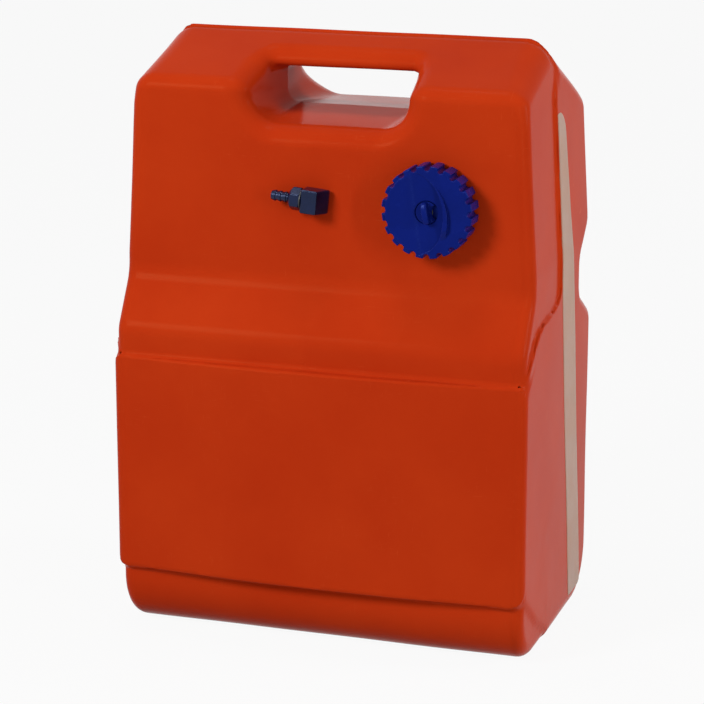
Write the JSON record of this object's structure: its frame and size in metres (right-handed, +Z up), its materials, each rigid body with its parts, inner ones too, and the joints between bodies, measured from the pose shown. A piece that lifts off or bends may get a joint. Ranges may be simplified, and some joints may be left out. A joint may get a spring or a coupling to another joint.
{
  "type": "outboard fuel tank",
  "caption": "Upright portable outboard fuel tank with a carrying grip, sight strip, vented screw cap and swivelling hose outlet with pick-up tube and strainer.",
  "frame": {"origin": "on the floor under the middle of the tank, on the plane of the mould seam", "axes": "+X to the filler cap's side, +Y from the front with the cap to the back, +Z up"},
  "size_m": [0.35, 0.2325, 0.4979],
  "materials": {
    "tank_red": "satin orange-red polyethylene",
    "strip_clear": "translucent natural polyethylene",
    "cap_blue": "royal blue polypropylene",
    "knob_blue": "royal blue polypropylene",
    "seal_rubber": "black nitrile rubber",
    "outlet_navy": "blue-black nylon",
    "inner_black": "black acetal",
    "washer_white": "white low-friction plastic",
    "tube_dark": "fuel-resistant rubber tube",
    "spring_steel": "stainless spring steel",
    "mesh_steel": "fine stainless gauze"
  },
  "bodies": {
    "tank": {"tank_shell": "tank_red", "sight_strip": "strip_clear", "outlet_bush": "inner_black", "pickup_tube": "tube_dark", "tube_clamp": "spring_steel", "strainer_cage": "inner_black", "strainer_mesh": "mesh_steel", "swivel_ring": "spring_steel", "swivel_washer": "washer_white"},
    "cap_travel": {"cap_gasket": "seal_rubber"},
    "cap": {"cap_body": "cap_blue", "splash_disc": "inner_black"},
    "vent_travel": {"vent_seal": "seal_rubber"},
    "vent": {"vent_knob": "knob_blue", "vent_clip": "spring_steel"},
    "outlet": {"outlet_block": "outlet_navy", "stem_o_rings": "seal_rubber", "hose_barb": "outlet_navy", "barb_washer": "seal_rubber"}
  },
  "joints": [
    {"name": "cap_lift", "type": "slide", "parent": "tank", "child": "cap_travel", "axis": [0, -1, 0], "range_m": [0, 0.0161]},
    {"name": "cap_turn", "type": "hinge", "parent": "cap_travel", "child": "cap", "pos_m": [0.0916, -0.1087, 0.3732], "axis": [0, -1, 0], "range_deg": [0, 900]},
    {"name": "vent_lift", "type": "slide", "parent": "cap", "child": "vent_travel", "axis": [0, -1, 0], "range_m": [0, 0.0024]},
    {"name": "vent_turn", "type": "hinge", "parent": "vent_travel", "child": "vent", "pos_m": [0.0916, -0.1087, 0.3732], "axis": [0, -1, 0], "range_deg": [0, 541]},
    {"name": "outlet_swivel", "type": "hinge", "parent": "tank", "child": "outlet", "pos_m": [-0.0048, -0.088, 0.3736], "axis": [0, -1, 0], "continuous": true}
  ],
  "couplings": [
    {"joint": "cap_lift", "follows": "cap_turn", "m_per_rad": 0.0010186},
    {"joint": "vent_turn", "follows": "vent_lift", "rad_per_m": 3927}
  ]
}
